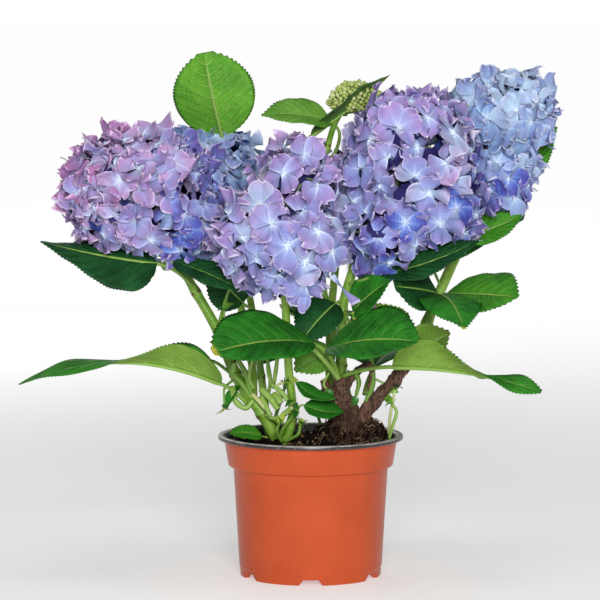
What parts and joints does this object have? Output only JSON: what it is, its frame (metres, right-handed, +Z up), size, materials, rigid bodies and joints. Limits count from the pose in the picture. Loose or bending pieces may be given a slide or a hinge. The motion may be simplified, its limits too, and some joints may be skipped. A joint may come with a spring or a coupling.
{
  "type": "potted hydrangea",
  "caption": "Mophead hydrangea in a thin round grower's pot, with lilac to blue flower heads on green and woody stems over toothed leaves.",
  "frame": {"origin": "the middle of the pot's flat underside, on the surface that the pot stands on", "axes": "+Z up; the plant's front, with its nearest flower head, looks along -Y; +X is to the right seen from the front, towards the tall blue flower head"},
  "size_m": [0.4172, 0.254, 0.4024],
  "materials": {
    "terracotta_plastic": "thin moulded plant-pot plastic, satin, with a dark scuffed rolled lip",
    "moist_peat": "crumbly dark peat with pale fibrous roots",
    "petal_lilac": "soft matt petals, pink-lilac with pale eyes",
    "petal_lavender": "soft matt petals, lavender with pink edges",
    "petal_blue": "soft matt petals, pale sky blue",
    "petal_violet": "soft matt petals, blue-violet",
    "bud_green": "tight yellow-green flower buds",
    "woody_bark": "rough brown bark that flakes along the stem",
    "green_stem": "smooth green stem with dark lengthwise spots",
    "leaf_bright": "bright green toothed leaf with raised pale veins",
    "leaf_deep": "glossy deep green toothed leaf with sunken veins",
    "leaf_underside": "matt pale green underside of a leaf"
  },
  "bodies": {
    "root": {"pot": "terracotta_plastic", "soil": "moist_peat", "bloom_centre": "petal_lilac", "bloom_right": "petal_lavender", "bloom_left": "petal_lilac", "bloom_far_right": "petal_blue", "bloom_blue": "petal_blue", "bloom_back": "petal_violet", "bud_head": "bud_green", "crown": "woody_bark", "stem_left": "green_stem", "stem_blue": "green_stem", "stem_left_back": "green_stem", "stem_centre": "green_stem", "stem_right": "green_stem", "stem_woody": "woody_bark", "stem_back": "green_stem", "stem_bud": "green_stem", "stem_arch": "woody_bark", "leaf_top_left": "leaf_bright", "leaf_top_mid": "leaf_bright", "leaf_top_dark": "leaf_deep", "leaf_left_upper": "leaf_deep", "leaf_left_inner": "leaf_deep", "leaf_left_low": "leaf_underside", "leaf_left_shred": "leaf_deep", "leaf_front_left": "leaf_deep", "leaf_front_right": "leaf_deep", "leaf_right_low": "leaf_underside", "leaf_right_mid": "leaf_bright", "leaf_right_droop": "leaf_deep", "leaf_right_dark": "leaf_deep", "leaf_under_right": "leaf_deep", "leaf_right_edge": "leaf_bright", "leaf_far_right": "leaf_bright", "leaf_mid_hanging": "leaf_deep", "leaf_mid_right": "leaf_deep", "leaf_pale_right": "leaf_underside", "leaf_pale_mid": "leaf_underside", "leaf_low_mid": "leaf_bright", "leaf_ground_mid": "leaf_deep", "leaf_ground_low": "leaf_deep", "leaf_soil": "leaf_bright", "leaf_left_behind": "leaf_deep", "leaf_back_low_left": "leaf_deep", "leaf_back_low_right": "leaf_deep", "leaf_back_mid": "leaf_deep", "leaf_back_left": "leaf_deep", "leaf_back_right": "leaf_deep", "leaf_back_blue": "leaf_deep", "leaf_back_far": "leaf_deep"}
  },
  "joints": []
}
